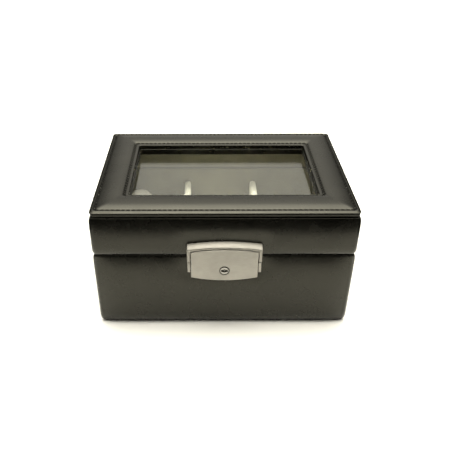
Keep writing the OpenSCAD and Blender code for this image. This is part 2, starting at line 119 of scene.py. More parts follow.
def filleted(corners, radii, step, arc_steps=5):
    """A closed outline through corners, each rounded by its radius, with points up to a step apart."""
    outline = []
    for i, radius in enumerate(radii):
        corner = np.array(corners[i], float)
        back = np.array(corners[i - 1], float) - corner
        ahead = np.array(corners[(i + 1) % len(corners)], float) - corner
        back /= np.linalg.norm(back)
        ahead /= np.linalg.norm(ahead)
        if radius == 0:
            outline.append(corner)
            continue
        half_angle = math.acos(np.clip(back @ ahead, -1, 1)) / 2
        middle = back + ahead
        centre = corner + middle / np.linalg.norm(middle) * radius / math.sin(half_angle)
        reach = radius / math.tan(half_angle)
        first = corner + back * reach - centre
        last = corner + ahead * reach - centre
        start = math.atan2(first[1], first[0])
        turn = (math.atan2(last[1], last[0]) - start + math.pi) % (2 * math.pi) - math.pi
        for k in range(arc_steps + 1):
            angle = start + turn * k / arc_steps
            outline.append(centre + radius * np.array([math.cos(angle), math.sin(angle)]))
    points = []
    for i, point in enumerate(outline):
        after = outline[(i + 1) % len(outline)]
        count = max(1, math.ceil(np.linalg.norm(after - point) / step))
        points += [point + (after - point) * k / count for k in range(count)]
    return points


def ring(half_w, half_d, radius, counts):
    """Points once round a rounded rectangle, anticlockwise, with their outward normals."""
    long_count, short_count, arc_count = counts
    signs = [(1, 1), (-1, 1), (-1, -1), (1, -1)]
    centres = [np.array([x * (half_w - radius), y * (half_d - radius)]) for x, y in signs]
    points, normals = [], []
    for k, centre in enumerate(centres):
        for angle in np.radians(np.linspace(90 * k, 90 * k + 90, arc_count + 1)):
            normal = np.array([math.cos(angle), math.sin(angle)])
            points.append(centre + radius * normal)
            normals.append(normal)
        start, end = points[-1], centres[(k + 1) % 4] + radius * normals[-1]
        count = long_count if k % 2 == 0 else short_count
        for t in np.arange(1, count) / count:
            points.append(start + (end - start) * t)
            normals.append(normals[-1])
    return np.array(points), np.array(normals)


def swept_faces(ring_count, point_count):
    """Faces that join rings of equal length in order, and the last ring to the first."""
    faces = []
    for i in range(ring_count):
        here, there = i * point_count, (i + 1) % ring_count * point_count
        for j in range(point_count):
            k = (j + 1) % point_count
            faces.append((here + j, here + k, there + k, there + j))
    return faces


def mesh_piece(name, points, faces, body, slot, replaced=(), crease_deg=35):
    """A mesh object from points in millimetres, which rides on a body and takes its finish from a slot."""
    mesh = bpy.data.meshes.new(name)
    mesh.from_pydata((np.asarray(points, float) * MM).tolist(), [], faces)
    build = bmesh.new()
    build.from_mesh(mesh)
    bmesh.ops.remove_doubles(build, verts=build.verts, dist=0.002 * MM)
    bmesh.ops.recalc_face_normals(build, faces=build.faces)
    build.to_mesh(mesh)
    build.free()
    piece = bpy.data.objects.new(name, mesh)
    bpy.context.scene.collection.objects.link(piece)
    mesh.materials.append(materials[slot])
    set_smooth(mesh, crease_deg)
    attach(piece, body)
    if replaced:
        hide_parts(*replaced)
    return piece


def set_smooth(mesh, crease_deg):
    """Smooth shading with sharp edges where faces meet at more than the crease angle."""
    mesh.shade_smooth()
    mesh.set_sharp_from_angle(angle=math.radians(crease_deg))


def cut(piece, low_high_pairs, bars=()):
    """Cuts boxes and round bars along Y out of a piece, in millimetres."""
    cutter_mesh = bpy.data.meshes.new("cutter")
    build = bmesh.new()
    for low, high in low_high_pairs:
        low, high = np.array(low, float), np.array(high, float)
        made = bmesh.ops.create_cube(build, size=1)["verts"]
        for vert in made:
            vert.co = Vector((low + (np.array(vert.co) + 0.5) * (high - low)) * MM)
    for centre, radius, depth in bars:
        made = bmesh.ops.create_cone(
            build, cap_ends=True, segments=48, radius1=radius * MM, radius2=radius * MM, depth=depth * MM
        )["verts"]
        for vert in made:
            x, y, z = vert.co
            vert.co = Vector((x, -z, y)) + Vector(centre) * MM
    bmesh.ops.recalc_face_normals(build, faces=build.faces)
    build.to_mesh(cutter_mesh)
    build.free()
    cutter = bpy.data.objects.new("cutter", cutter_mesh)
    bpy.context.scene.collection.objects.link(cutter)
    modifier = piece.modifiers.new("cut", "BOOLEAN")
    modifier.operation = "DIFFERENCE"
    modifier.solver = "EXACT"
    modifier.object = cutter
    apply_modifiers(piece)
    bpy.data.objects.remove(cutter)
    set_smooth(piece.data, 35)


def apply_modifiers(piece):
    """Turns what the modifiers make into the piece's own mesh."""
    depsgraph = bpy.context.evaluated_depsgraph_get()
    made = bpy.data.meshes.new_from_object(piece.evaluated_get(depsgraph), depsgraph=depsgraph)
    piece.modifiers.clear()
    piece.data = made


# ---------- materials ----------

class Shader:
    """A node material with one Principled shader, and short ways to add nodes to it."""

    def __init__(self, name, color, roughness, **sockets):
        self.material = bpy.data.materials.new(name)
        self.material.use_nodes = True
        self.tree = self.material.node_tree
        self.main = next(n for n in self.tree.nodes if n.type == "BSDF_PRINCIPLED")
        self.main.inputs["Base Color"].default_value = (*color, 1)
        self.main.inputs["Roughness"].default_value = roughness
        for socket, value in sockets.items():
            self.main.inputs[socket.replace("_", " ")].default_value = value
        self.place = self.add("ShaderNodeTexCoord").outputs["Object"]

    def add(self, kind, **settings):
        node = self.tree.nodes.new(kind)
        for key, value in settings.items():
            setattr(node, key, value)
        return node

    def join(self, output, socket):
        self.tree.links.new(output, socket)

    def stretched(self, scale):
        """The surface position stretched by a scale per axis."""
        mapping = self.add("ShaderNodeMapping")
        mapping.inputs["Scale"].default_value = scale
        self.join(self.place, mapping.inputs["Vector"])
        return mapping.outputs["Vector"]

    def noise(self, size, detail=2.0, place=None):
        """Noise from 0 to 1 with lumps of about the given size in millimetres."""
        node = self.add("ShaderNodeTexNoise")
        node.inputs["Scale"].default_value = 1 / (size * MM)
        node.inputs["Detail"].default_value = detail
        self.join(place or self.place, node.inputs["Vector"])
        return node.outputs["Fac"]

    def cells(self, size):
        """Distance from the middle of irregular cells of about the given size in millimetres."""
        node = self.add("ShaderNodeTexVoronoi", feature="SMOOTH_F1")
        node.inputs["Scale"].default_value = 1 / (size * MM)
        self.join(self.place, node.inputs["Vector"])
        return node.outputs["Distance"]

    def spread(self, value, low, high):
        """A 0 to 1 value spread from low to high."""
        node = self.add("ShaderNodeMapRange")
        node.inputs["From Min"].default_value = 0.3
        node.inputs["From Max"].default_value = 0.7
        node.inputs["To Min"].default_value = low
        node.inputs["To Max"].default_value = high
        self.join(value, node.inputs["Value"])
        return node.outputs["Result"]

    def tint(self, value, dark, light):
        """Base colour between two colours."""
        ramp = self.add("ShaderNodeValToRGB")
        ramp.color_ramp.elements[0].position = 0.3
        ramp.color_ramp.elements[1].position = 0.7
        ramp.color_ramp.elements[0].color = (*dark, 1)
        ramp.color_ramp.elements[1].color = (*light, 1)
        self.join(value, ramp.inputs["Fac"])
        self.join(ramp.outputs["Color"], self.main.inputs["Base Color"])

    def bump(self, value, height, strength):
        """Raises the surface by a value, up to a height in millimetres. Bumps add up."""
        node = self.add("ShaderNodeBump")
        node.inputs["Strength"].default_value = strength
        node.inputs["Distance"].default_value = height * MM
        self.join(value, node.inputs["Height"])
        normal = self.main.inputs["Normal"]
        if normal.is_linked:
            self.join(normal.links[0].from_socket, node.inputs["Normal"])
        self.join(node.outputs["Normal"], normal)

    def rough(self, value, low, high):
        self.join(self.spread(value, low, high), self.main.inputs["Roughness"])


def scaled(color, factor):
    return tuple(c * factor for c in color)


def leather(name, color, roughness):
    """Black imitation leather: fine pebble grain, faint creases and uneven gloss."""
    shader = Shader(name, color, roughness, IOR=1.42, Specular_Tint=(1.0, 0.97, 0.82, 1.0))
    patches = shader.noise(22, 3)
    shader.tint(patches, scaled(color, 0.75), scaled(color, 1.3))
    shader.rough(shader.noise(9, 4), roughness - 0.03, roughness + 0.04)
    shader.bump(shader.cells(0.5), 0.03, 0.25)
    shader.bump(shader.noise(2.2, 3), 0.02, 0.25)
    return shader.material


def suede(name, color):
    """Short-napped suede cloth with brushed patches."""
    shader = Shader(name, color, 0.95, Sheen_Weight=0.25, Sheen_Roughness=0.5)
    shader.tint(shader.noise(11, 4), scaled(color, 0.88), scaled(color, 1.1))
    shader.bump(shader.noise(0.35, 4), 0.12, 0.5)
    shader.bump(shader.noise(5, 2), 0.2, 0.15)
    return shader.material


def felt(name, color):
    """Matted short black fibres."""
    shader = Shader(name, color, 1.0, Sheen_Weight=0.3)
    fibres = shader.noise(0.5, 5, shader.stretched((1, 3, 1)))
    shader.tint(fibres, scaled(color, 0.6), scaled(color, 1.8))
    shader.bump(fibres, 0.3, 0.7)
    return shader.material


def foam(name, color):
    """Open-celled foam."""
    shader = Shader(name, color, 0.9)
    pores = shader.cells(0.6)
    shader.tint(pores, scaled(color, 0.5), color)
    shader.bump(pores, 0.3, 0.8)
    return shader.material


def board(name, color):
    """Pressed fibreboard with stretched fibres."""
    shader = Shader(name, color, 0.8)
    fibres = shader.noise(0.9, 5, shader.stretched((0.3, 1, 1.6)))
    shader.tint(fibres, scaled(color, 0.7), scaled(color, 1.15))
    shader.bump(fibres, 0.08, 0.5)
    return shader.material


def metal(name, color, roughness, streak):
    """Plated metal with fine brushing and a few dull patches."""
    shader = Shader(name, color, roughness, Metallic=1.0)
    brushed = shader.noise(streak, 3, shader.stretched((0.05, 1, 1)))
    shader.tint(shader.noise(6, 3), scaled(color, 0.94), scaled(color, 1.05))
    shader.rough(brushed, roughness - 0.04, roughness + 0.06)
    shader.bump(brushed, 0.01, 0.25)
    return shader.material


def thread(name, color):
    """Black twisted thread."""
    shader = Shader(name, color, 0.8, Specular_IOR_Level=0.15)
    twist = shader.add("ShaderNodeTexWave", bands_direction="DIAGONAL")
    twist.inputs["Scale"].default_value = 0.7 / MM
    shader.join(shader.place, twist.inputs["Vector"])
    shader.tint(twist.outputs["Fac"], scaled(color, 0.7), scaled(color, 1.6))
    shader.bump(twist.outputs["Fac"], 0.08, 0.6)
    return shader.material


def clear_glass(name, color):
    """Float glass that lets lamps through, with a faint waviness."""
    shader = Shader(name, color, 0.0, Transmission_Weight=1.0, IOR=1.5)
    shader.bump(shader.noise(30, 1), 0.02, 0.1)
    through = shader.add("ShaderNodeBsdfTransparent")
    through.inputs["Color"].default_value = (*scaled(color, 0.93), 1)
    mix = shader.add("ShaderNodeMixShader")
    shader.join(shader.add("ShaderNodeLightPath").outputs["Is Shadow Ray"], mix.inputs["Fac"])
    shader.join(shader.main.outputs["BSDF"], mix.inputs[1])
    shader.join(through.outputs["BSDF"], mix.inputs[2])
    output = next(n for n in shader.tree.nodes if n.type == "OUTPUT_MATERIAL")
    shader.join(mix.outputs["Shader"], output.inputs["Surface"])
    return shader.material


materials = {
    "board": board("grey_board", (0.13, 0.12, 0.098)),
    "felt": felt("black_felt", (0.012, 0.012, 0.012)),
    "foam": foam("grey_foam", (0.12, 0.12, 0.12)),
    "leather_top": leather("top_leather", (0.0035, 0.0034, 0.0027), 0.28),
    "leather_side": leather("side_leather", (0.0035, 0.0034, 0.0027), 0.26),
    "leather_trim": leather("trim_leather", (0.0035, 0.0034, 0.0027), 0.24),
    "suede_lining": suede("lining_suede", (0.245, 0.233, 0.168)),
    "suede_divider": suede("divider_suede", (0.72, 0.70, 0.57)),
    "suede_pillow": suede("pillow_suede", (0.52, 0.50, 0.42)),
    "glass": clear_glass("window_glass", (0.985, 0.995, 0.985)),
    "lock_nickel": metal("satin_nickel", (0.43, 0.41, 0.37), 0.62, 0.2),
    "cylinder_steel": metal("worn_chrome", (0.26, 0.25, 0.23), 0.2, 0.12),
    "hinge_nickel": metal("hinge_plate", (0.30, 0.285, 0.25), 0.28, 0.3),
    "inner_steel": metal("plain_steel", (0.26, 0.25, 0.23), 0.3, 0.2),
}
# The cylinder ring's chrome is made near-black as painted shade: it stands in for the shade in the gap round
# the key cylinder.
ring_painted_shade_material = metal("chrome_with_painted_shade", (0.05, 0.048, 0.044), 0.25, 0.12)
thread_material = thread("black_thread", (0.0025, 0.0025, 0.002))


# ---------- leather skins ----------

FRONT_CORNER_SHARE = 0.12
SIDE_CORNER_SHARE = 0.75
PAD_ALONG = 18.0
SIDE_RISE = 4.0
EDGE_IN = 0.2
FADE = 6.0
LOCK_FADE = 16.0
LOCK_IN_SIDE = 3
LOCK_IN_BELOW = 6
LOCK_IN_ABOVE = 4
HINGE_REACH = 2
PRESSED_SHARE = 0.5
ROLL_DROP = 1.2
FOAM_DROP = 1.2
CREASE = 0.012
CREASE_SIZE = 13
CREASE_FROM_TOP = 3
# The padding of the two walls, as wall_out() takes it.
BASE_PAD = (2.9, 1.2, 42, 12)
LID_PAD = (1.4, 1.2, 20, 7)
SIDE_BOTTOM_SHARE = 0.4
SKIN_STEP = 1.2
BOTTOM_ROLL_R = 1.8
EDGE_ROLL_R = 0.7
TOP_ROLL_R = 0.45
ROLL_IN = 0.75
ROLL_DEPTH = 1.5
KEY_HOLE_R = 6.2
KEY_BAR_LENGTH = 8
WALL_COUNTS = (190, 134, 9)


def zone_share(x, z, middle_x, half_width, low_z, high_z, fade):
    """0 over a rectangle of the wall and up to 1 at the fade distance from it."""
    aside = np.maximum(abs(x - middle_x) - half_width, 0)
    above = np.maximum(np.maximum(z - high_z, low_z - z), 0)
    return smooth(np.hypot(aside, above) / fade)


def wall_out(points, normals, z, low_z, high_z, pad):
    """How far the padded wall stands out from its edges' line. The pad is how far it swells at the front and
    at the sides, and how far down from the top and up from the bottom it takes to swell."""
    front_pad, side_pad, pad_top, pad_bottom = pad
    x, y = points[:, 0], points[:, 1]
    flat_w, flat_d = HALF_W - WALL_CORNER_R, HALF_D - WALL_CORNER_R
    facing = smooth(abs(normals[:, 1]))
    along = ease(np.where(abs(normals[:, 1]) > 0.5, flat_w - abs(x), flat_d - abs(y)) / PAD_ALONG)
    corner_pad = front_pad * FRONT_CORNER_SHARE + side_pad * SIDE_CORNER_SHARE
    top_length = SIDE_RISE + (pad_top - SIDE_RISE) * facing
    bottom_length = pad_bottom * (SIDE_BOTTOM_SHARE + (1 - SIDE_BOTTOM_SHARE) * facing)
    upright = ease((high_z - z) / top_length) * ease((z - low_z) / bottom_length)
    depth = side_pad + (front_pad - side_pad) * facing
    out = (corner_pad + (depth - corner_pad) * along) * upright
    front = normals[:, 1] < -0.5
    back = normals[:, 1] > 0.5
    lock_z = lock_low[2] + LOCK_IN_BELOW, cover_high[2] - LOCK_IN_ABOVE
    lock = zone_share(x, z, 0, cover_high[0] - LOCK_IN_SIDE, *lock_z, LOCK_FADE)
    lock = PRESSED_SHARE + (1 - PRESSED_SHARE) * lock
    out = np.where(front, EDGE_IN * (1 - lock) + out * lock, out)
    hinge_z = base_high[2] - HINGE_REACH, side_low[2] + HINGE_REACH
    hinges = np.minimum(
        zone_share(x, z, -HINGE_X, HINGE_HALF_W, *hinge_z, FADE),
        zone_share(x, z, HINGE_X, HINGE_HALF_W, *hinge_z, FADE),
    )
    return np.where(back, EDGE_IN * (1 - hinges) + out * hinges, out)


def wall_skin(section, low_z, high_z, pad, seed):
    """Rings of a leather skin round the box, from a closed section of inset and height."""
    rings = []
    for inset, z in section:
        radius = max(WALL_CORNER_R - inset, SMALLEST_R)
        points, normals = ring(HALF_W - inset, HALF_D - inset, radius, WALL_COUNTS)
        if inset < LEATHER - 0.05:
            out = wall_out(points, normals, np.full(len(points), z), low_z, high_z, pad)
            lifted = np.column_stack([points, np.full(len(points), z)])
            out = out + CREASE * ripple(lifted, CREASE_SIZE, seed) * ease((high_z - z) / CREASE_FROM_TOP)
            points = points + normals * out[:, None]
        rings.append(np.column_stack([points, np.full(len(points), z)]))
    return np.vstack(rings), swept_faces(len(rings), len(rings[0]))


def hinge_seats(low_z, high_z):
    """Boxes of the four hinge leaf seats between two heights."""
    leaf_low = span("left_hinge_lower_leaf")[0][1]
    return [
        ((x - HINGE_HALF_W, leaf_low, low_z), (x + HINGE_HALF_W, HALF_D + 3, high_z))
        for x in (-HINGE_X, HINGE_X)
    ]


def base_skin():
    """The base's leather, rolled over its rim and under its bottom edge."""
    low_z, high_z = base_low[2], base_high[2]
    corners = [
        (EDGE_IN, low_z), (EDGE_IN, high_z), (RIM_IN, high_z), (RIM_IN, high_z - LEATHER),
        (LEATHER, high_z - LEATHER), (LEATHER, low_z + LEATHER), (FELT_IN, low_z + LEATHER), (FELT_IN, low_z),
    ]
    section = filleted(corners, [BOTTOM_ROLL_R, EDGE_ROLL_R, 0.3, 0, 0, 0, 0.2, 0.2], SKIN_STEP)
    points, faces = wall_skin(section, low_z, high_z, BASE_PAD, 1)
    piece = mesh_piece("base_leather_skin", points, faces, "base", "leather_side", ["base_leather"])
    key_z = span("key_cylinder")[0][2] / 2 + span("key_cylinder")[1][2] / 2
    key_hole = (0, -HALF_D, key_z), KEY_HOLE_R, KEY_BAR_LENGTH
    cut(piece, hinge_seats(high_z - LEATHER, high_z + HINGE_REACH), [key_hole])


def lid_side_skin():
    """The lid's side leather, rolled over at the top, and the foam under it."""
    low_z, high_z = side_low[2], side_high[2]
    rim_in = RIM_IN - 0.6
    roll_z = high_z - ROLL_DROP
    roll_in = EDGE_IN + ROLL_IN
    corners = [
        (EDGE_IN - 0.15, low_z), (EDGE_IN, roll_z), (roll_in, roll_z), (roll_in, roll_z - ROLL_DEPTH),
        (LEATHER, roll_z - ROLL_DEPTH - 1), (LEATHER, low_z + LEATHER), (rim_in, low_z + LEATHER),
        (rim_in, low_z),
    ]
    section = filleted(corners, [EDGE_ROLL_R, TOP_ROLL_R, 0.4, 0, 0, 0, 0.2, 0.2], SKIN_STEP)
    points, faces = wall_skin(section, low_z, roll_z, LID_PAD, 2)
    piece = mesh_piece("lid_side_leather_skin", points, faces, "lid", "leather_side", ["lid_side_leather"])
    cut(piece, hinge_seats(low_z - HINGE_REACH, low_z + LEATHER))
    foam_bottom = span("lid_side_foam")[0][2]
    foam_top = roll_z - FOAM_DROP
    section = [(LEATHER, foam_bottom), (LEATHER, foam_top), (SKIN, foam_top), (SKIN, foam_bottom)]
    band("lid_side_foam_sheet", section, HALF_W, HALF_D, WALL_CORNER_R, "foam", ["lid_side_foam"])


OUTER_STITCH_IN = 2.8
INNER_STITCH_IN = BORDER - 3.0
GROOVE_DEPTH = 0.75
GROOVE_HALF = 0.55
GAP_SHARE = 0.9
CREST_IN = 12.5
CREST_RISE = 1.4
CREST_FALL = 1.1
CREST_POWER = 2.2
EDGE_RIDGE = 0.55
RIDGE_IN = 1.5
RIDGE_HALF = 0.6
EDGE_POWER = 1.6
TOP_COUNTS = (300, 210, 9)
TOP_EDGE_Z = welt_high[2] + 0.55
NEAR_PUSH = 1.9
NEAR_START = 8
NEAR_LENGTH = 9
NEAR_LIP = 18
NEAR_LIP_LENGTH = 2.6
LIP_PUSH = 0.5
NEAR_Y = 27
NEAR_Y_LENGTH = 8
FRONT_ROW_PUSH = 0.9
FRONT_ROW_START = 2.5
FRONT_ROW_END = 4
FRONT_ROW_LENGTH = 6
EDGE_DROP = 0.45
EDGE_ROUND = 2.2
TOP_CREASE = 0.06
TOP_CREASE_SIZE = 16


def near_shift(inset, y):
    """How far the padding pushes the leather of the near border towards the window."""
    gained = smooth((inset - NEAR_START) / NEAR_LENGTH)
    given_back = smooth((inset - NEAR_LIP) / NEAR_LIP_LENGTH)
    push = NEAR_PUSH * gained - (NEAR_PUSH - LIP_PUSH) * given_back
    past_row = smooth((inset - FRONT_ROW_END) / FRONT_ROW_LENGTH)
    push += FRONT_ROW_PUSH * smooth(inset / FRONT_ROW_START) * (1 - past_row)
    return push * smooth((-y - NEAR_Y) / NEAR_Y_LENGTH)


def stitch_gap(points, normals, inset):
    """1 midway between two stitches of the row at this inset, and 0 over a stitch."""
    half_w, half_d = HALF_W - inset, HALF_D - inset
    across = abs(normals[:, 1]) > 0.5
    place = np.where(across, points[:, 0] + half_w, points[:, 1] + half_d)
    pitch = np.where(across, row_pitch(half_w), row_pitch(half_d))
    return (0.5 + 0.5 * np.cos(2 * np.pi * place / pitch)) ** 6


def row_pitch(half):
    """Stitch pitch that fits a whole number of stitches along a side."""
    return 2 * half / round(2 * half / STITCH_PITCH)


def top_surface(points, normals, inset):
    """Height of the lid's top leather over its edge height, at an inset from the outline."""
    outer = np.clip((CREST_IN - inset) / (CREST_IN - OUTER_STITCH_IN), 0, 1)
    inner = np.clip((inset - CREST_IN) / (INNER_STITCH_IN - CREST_IN), 0, 1)
    height = CREST_RISE * (1 - outer ** CREST_POWER) - CREST_FALL * inner ** CREST_POWER
    height += EDGE_RIDGE * math.exp(-((inset - RIDGE_IN) / RIDGE_HALF) ** 2)
    height -= EDGE_DROP * np.clip(1 - inset / EDGE_ROUND, 0, 1) ** EDGE_POWER
    for row_in in (OUTER_STITCH_IN, INNER_STITCH_IN):
        dip = math.exp(-((inset - row_in) / GROOVE_HALF) ** 2)
        height = height - GROOVE_DEPTH * dip * (1 - GAP_SHARE * stitch_gap(points, normals, row_in))
    return height


def top_skin():
    """The lid's top leather, with rolled edges, two sunk stitch rows and padding between them."""
    top_z = top_high[2]
    under_z = top_z - LEATHER
    wall_in = BORDER
    corners = [
        (0, TOP_EDGE_Z), (0, top_z), (wall_in, top_z), (wall_in, top_low[2]),
        (wall_in - LEATHER, top_low[2]), (wall_in - LEATHER, under_z), (SKIN + 0.6, under_z),
        (SKIN, TOP_EDGE_Z),
    ]
    section = filleted(corners, [0.2, 0.3, 0.8, 0.2, 0.2, 0, 0, 0.1], 0.3, 6)
    rings = []
    for inset, z in section:
        share = inset / BORDER
        half_w = HALF_W - inset
        half_d = HALF_D - share * (HALF_D - WINDOW_HALF_D)
        radius = TOP_CORNER_R + (WINDOW_R - TOP_CORNER_R) * min(1, inset / 4)
        points, normals = ring(half_w, half_d, radius, TOP_COUNTS)
        height = np.full(len(points), z)
        on_top = z > top_z - 1.0 and 0.2 < inset < wall_in - 0.05
        if on_top:
            share_up = smooth((z - (top_z - 1.0)) / 0.9)
            height = height + share_up * top_surface(points, normals, inset)
            if 1 < inset < BORDER - 1:
                lifted = np.column_stack([points, height])
                height = height + TOP_CREASE * ripple(lifted, TOP_CREASE_SIZE, 3)
            points[:, 1] += near_shift(inset, points[:, 1])
        rings.append(np.column_stack([points, height]))
    mesh_piece(
        "lid_top_leather_skin", np.vstack(rings), swept_faces(len(rings), len(rings[0])),
        "lid", "leather_top", ["lid_top_leather"],
    )


BAND_COUNTS = (60, 40, 8)


def band(name, section, half_w, half_d, radius, slot, replaced):
    """A closed strip round a rounded rectangle, from a section of inset and height."""
    rings = []
    for inset, z in section:
        points, _ = ring(half_w - inset, half_d - inset, max(radius - inset, SMALLEST_R), BAND_COUNTS)
        rings.append(np.column_stack([points, np.full(len(points), z)]))
    return mesh_piece(name, np.vstack(rings), swept_faces(len(rings), len(rings[0])), "lid", slot, replaced)


WELT_IN = 0.15
WELT_LIFT = 0.25
WELT_OVERLAP = 0.4
WELT_STEP = 0.3
FLANGE_IN = 0.85
FLANGE_BACK = 1.45
FLANGE_REACH = 4
BEAD_OUT = 0.6
BEAD_R = 0.35


def welt_and_bead():
    """The piping under the top leather with its flange, and the thin piping of the window."""
    inset = HALF_W - welt_high[0] + WELT_IN
    low, high = welt_low[2] + WELT_LIFT, welt_high[2] + WELT_OVERLAP
    flange_in, flange_low = inset + FLANGE_IN, top_low[2] - FLANGE_REACH
    corners = [
        (inset, low), (inset, high), (FLANGE_BACK, high), (FLANGE_BACK, flange_low), (flange_in, flange_low),
        (flange_in, low),
    ]
    section = filleted(corners, [0.55, 0.6, 0, 0, 0, 0], WELT_STEP)
    band("lid_welt_piping", section, HALF_W, HALF_D, TOP_CORNER_R, "leather_trim", ["lid_welt"])
    corners = [(0, bead_low[2]), (0, bead_high[2]), (BEAD_OUT, bead_high[2]), (BEAD_OUT, bead_low[2])]
    section = filleted(corners, [0, 0, BEAD_R, BEAD_R], WELT_STEP)
    band(
        "window_bead_piping", section, WINDOW_HALF_W, WINDOW_HALF_D, WINDOW_R, "leather_trim", ["window_bead"]
    )


# ---------- stitches ----------

STITCH_HALF = 1.15
STITCH_R = 0.42
STITCH_DIP = 0.35
STITCH_SIDES = 8
STITCH_RINGS = 7
# How high a stitch lies over its groove's floor, and its slant in degrees with how far that varies.
THREAD_LIFT = 0.35
STITCH_SLANT = 5
SLANT_SPREAD = 2


def stitch_points(centre, along, aside):
    """Rings of one stitch, a short thick thread whose ends dive into the leather."""
    points = []
    for share in np.linspace(-1, 1, STITCH_RINGS):
        radius = STITCH_R * (1 - 0.55 * abs(share) ** 3)
        middle = centre + along * (share * STITCH_HALF) - np.array([0, 0, STITCH_DIP * abs(share) ** 2.5])
        for k in range(STITCH_SIDES):
            angle = 2 * math.pi * k / STITCH_SIDES
            points.append(middle + radius * (aside * math.cos(angle) + np.array([0, 0, math.sin(angle)])))
    return points


def stitch_faces(first):
    """Faces of one stitch whose points start at an index."""
    faces = []
    for i in range(STITCH_RINGS - 1):
        for k in range(STITCH_SIDES):
            here = first + i * STITCH_SIDES
            after = (k + 1) % STITCH_SIDES
            faces.append((here + k, here + after, here + STITCH_SIDES + after, here + STITCH_SIDES + k))
    faces.append(tuple(first + k for k in range(STITCH_SIDES)))
    last = first + (STITCH_RINGS - 1) * STITCH_SIDES
    faces.append(tuple(last + k for k in range(STITCH_SIDES)))
    return faces


def stitch_row(name, inset, seed):
    """One row of stitches round the lid's top at an inset from its outline."""
    chance = random.Random(seed)
    half_w, half_d = HALF_W - inset, HALF_D - inset
    thread_z = top_high[2] - GROOVE_DEPTH + THREAD_LIFT
    points, faces = [], []
    for axis, half, cross in ((0, half_w, half_d), (1, half_d, half_w)):
        pitch = row_pitch(half)
        for sign in (-1, 1):
            for k in range(round(2 * half / pitch)):
                place = np.zeros(3)
                place[axis] = -half + (k + 0.5) * pitch
                place[1 - axis] = sign * cross
                place[2] = thread_z + (CREST_RISE - CREST_FALL) * (inset > CREST_IN)
                place[1] += near_shift(inset, place[1])
                slant = math.radians(STITCH_SLANT + chance.uniform(-SLANT_SPREAD, SLANT_SPREAD))
                along = np.zeros(3)
                along[axis] = math.cos(slant)
                along[1 - axis] = math.sin(slant)
                aside = np.cross(along, (0, 0, 1))
                faces += stitch_faces(len(points))
                points += stitch_points(place, along, aside)
    piece = mesh_piece(name, points, faces, "lid", "leather_trim", crease_deg=60)
    piece.data.materials[0] = thread_material


# ---------- suede panels and dividers ----------

def grid_cuts(low, high, radius, step):
    """Cut places along one axis: close together over the rounded ends, and evenly spaced between."""
    turns = [radius * (1 - math.cos(a)) for a in np.radians([0, 25, 50, 75])]
    inner = max(1, math.ceil((high - low - 2 * radius) / step))
    middle = [low + radius + (high - low - 2 * radius) * k / inner for k in range(inner + 1)]
    return [low + t for t in turns] + middle + [high - t for t in reversed(turns)]


def rounded_slab(low, high, radius, step, crowns=()):
    """Points and faces of a slab with round edges. A crown is an axis, a side and how far it swells."""
    low, high = np.array(low, float), np.array(high, float)
    cuts = [grid_cuts(low[a], high[a], radius, step) for a in range(3)]
    points, faces = [], []
    for axis in range(3):
        u, v = (axis + 1) % 3, (axis + 2) % 3
        for side in (low[axis], high[axis]):
            first = len(points)
            for a in cuts[u]:
                for b in cuts[v]:
                    point = np.zeros(3)
                    point[axis], point[u], point[v] = side, a, b
                    points.append(point)
            rows, columns = len(cuts[u]), len(cuts[v])
            for i in range(rows - 1):
                for j in range(columns - 1):
                    k = first + i * columns + j
                    faces.append((k, k + columns, k + columns + 1, k + 1))
    points = np.array(points)
    core = np.clip(points, low + radius, high - radius)
    outward = points - core
    outward /= np.maximum(np.linalg.norm(outward, axis=1), 1e-9)[:, None]
    points = core + outward * radius
    middle, half = (low + high) / 2, (high - low) / 2
    for axis, side, amount in crowns:
        u, v = (axis + 1) % 3, (axis + 2) % 3
        share = np.clip(1 - abs((points - middle) / half) ** 2.5, 0, 1)
        swell = ease(share[:, u] * 1.6) * ease(share[:, v] * 1.6)
        facing = np.clip(side * outward[:, axis], 0, 1)
        points[:, axis] += side * amount * swell * facing
    return points, faces


def slab_piece(name, node, radius, step, crowns):
    low, high = span(node)
    points, faces = rounded_slab(low, high, radius, step, crowns)
    points = points + 0.05 * ripple(points, 9, len(name))[:, None] * np.array([1, 1, 0.3])
    return mesh_piece(name, points, faces, body_of_node[node], slot_of_node[node], [node], 60)


def linings():
    """Padded suede panels: each swells towards the inside of the box."""
    inward = {"front": (1, 1), "back": (1, -1), "left": (0, 1), "right": (0, -1)}
    for side, (axis, sign) in inward.items():
        slab_piece(f"base_{side}_suede", f"base_{side}_lining", 0.8, 3, [(axis, sign, 0.35)])
        slab_piece(f"lid_{side}_suede", f"lid_{side}_lining", 0.5, 3, [(axis, sign, 0.25)])
    slab_piece("floor_suede", "floor_lining", 0.8, 3, [(2, 1, 0.15)])
    for side in ("left", "right"):
        slab_piece(f"{side}_divider_suede", f"{side}_divider", 2.1, 2.5, [(0, 1, 0.2), (0, -1, 0.2)])


# ---------- pillows ----------

PILLOW_START_IN = 1.2
PILLOW_VOXEL = 2.0
PILLOW_PRESSURE = 4.0
PILLOW_CAP = 2.5
CLOTH_FRAMES = 20
SEAM_IN = 3.2
SEAM_PINCH = 0.8
SEAM_HALF = 1.2
SEAM_R = 0.5
SEAM_SIDES = 8
# How square the pillow is across its width, along its length, and through its thickness.
PILLOW_POWERS = (8.0, 3.6, 2.3)


def cushion(low, high, powers):
    """Points and faces of a closed, crowned form that fills a box, squarer where an axis has a high power."""
    unit, faces = rounded_slab((-1, -1, -1), (1, 1, 1), 0, 0.1)
    near, far = np.zeros(len(unit)), np.full(len(unit), 1.0)
    for _ in range(30):
        middle = (near + far) / 2
        inside = (abs(unit * middle[:, None]) ** np.array(powers)).sum(1) < 1
        near, far = np.where(inside, middle, near), np.where(inside, far, middle)
    half = (high - low) / 2
    return (low + high) / 2 + unit * near[:, None] * half, faces


